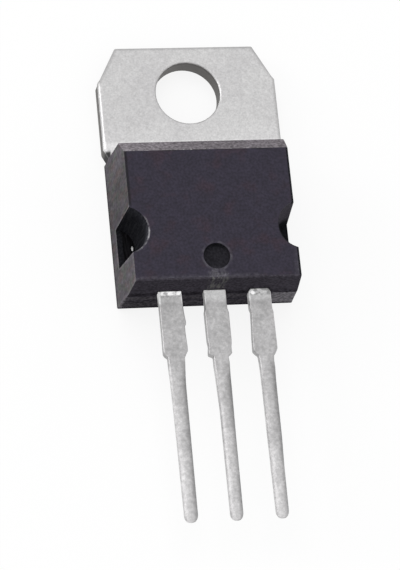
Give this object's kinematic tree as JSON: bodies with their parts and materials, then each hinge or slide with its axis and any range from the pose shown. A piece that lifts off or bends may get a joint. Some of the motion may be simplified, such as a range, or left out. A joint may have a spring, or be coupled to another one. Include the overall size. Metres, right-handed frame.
{
  "type": "voltage regulator",
  "caption": "Flat power package with a drilled metal tab, a black moulded body notched at both sides, and a row of straight flat leads.",
  "frame": {"origin": "centre of the tab's mounting hole, on the heatsink face", "axes": "+Z along the mounting hole, out of the front of the part; +Y to the free end of the tab, so the leads run to -Y; +X to the output lead's side"},
  "size_m": [0.0104, 0.0286, 0.0045],
  "materials": {
    "epoxy": "dark grey moulded epoxy, fine matt texture",
    "tinned_copper": "matt tin plate over copper",
    "tinned_lead": "matt tin plate over copper, slightly mottled",
    "silicon": "polished silicon",
    "solder": "dull reflowed solder",
    "bond_wire": "bright drawn wire"
  },
  "bodies": {
    "root": {"epoxy_body": "epoxy", "tab_header": "tinned_copper", "ground_lead": "tinned_copper", "input_lead": "tinned_lead", "output_lead": "tinned_lead", "silicon_die": "silicon", "die_attach_solder": "solder", "input_bond_wire": "bond_wire", "output_bond_wire": "bond_wire", "output_sense_wire": "bond_wire", "ground_bond_wire": "bond_wire"}
  },
  "joints": []
}
